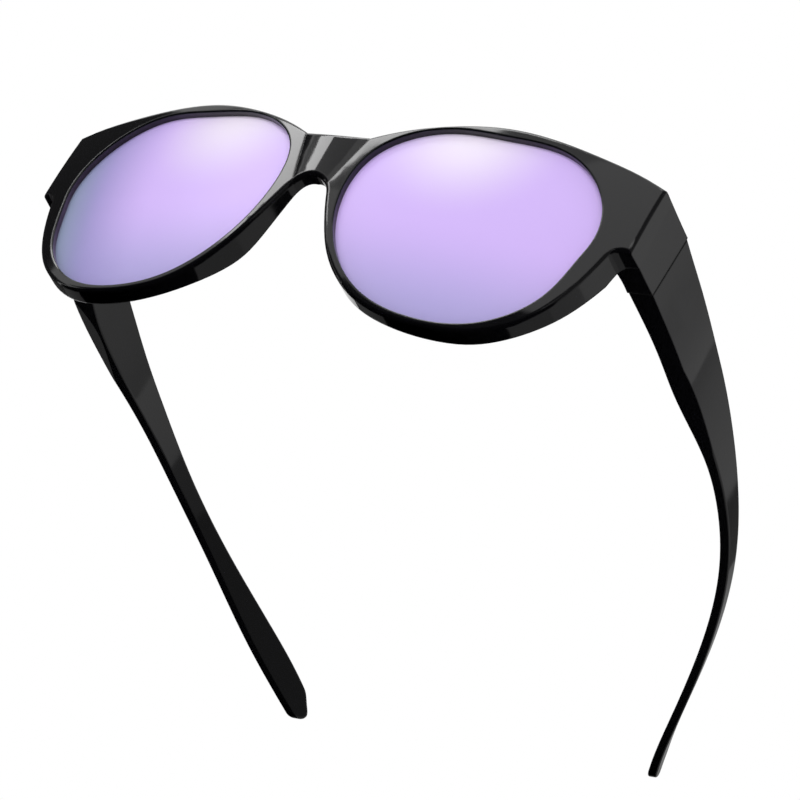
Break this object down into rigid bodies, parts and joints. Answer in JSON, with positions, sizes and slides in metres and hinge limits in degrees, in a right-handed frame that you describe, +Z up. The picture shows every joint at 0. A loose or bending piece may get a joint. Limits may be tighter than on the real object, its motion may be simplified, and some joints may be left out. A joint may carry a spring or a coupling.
{
  "type": "fitover sunglasses",
  "caption": "Fitover sunglasses: deep gloss black frame with wide end pieces, mirror-coated purple lenses and temples that fold on small metal hinges.",
  "frame": {"origin": "middle of the resting footprint, on the table plane; the rims and both temple tips touch z = 0", "axes": "+X towards the wearer's left, +Y from the lenses back along the temples, +Z up"},
  "size_m": [0.158, 0.1536, 0.0547],
  "materials": {
    "frame": "polished black",
    "lens": "purple mirror coating",
    "hinge": "satin steel"
  },
  "bodies": {
    "front": {"front_frame": "frame", "lens_left": "lens", "lens_right": "lens", "hinge_front_leaf_left": "hinge", "hinge_front_leaf_right": "hinge", "hinge_screw_left": "hinge", "hinge_screw_right": "hinge"},
    "left_temple": {"temple_left": "frame", "hinge_temple_leaf_left": "hinge"},
    "right_temple": {"temple_right": "frame", "hinge_temple_leaf_right": "hinge"}
  },
  "joints": [
    {"name": "left_temple_fold", "type": "hinge", "parent": "front", "child": "left_temple", "pos_m": [0.06878, -0.05118, 0.03903], "axis": [0, -0.0764, 0.9971], "range_deg": [0, 84]},
    {"name": "right_temple_fold", "type": "hinge", "parent": "front", "child": "right_temple", "pos_m": [-0.06878, -0.05118, 0.03903], "axis": [0, 0.0764, -0.9971], "range_deg": [0, 76]}
  ]
}
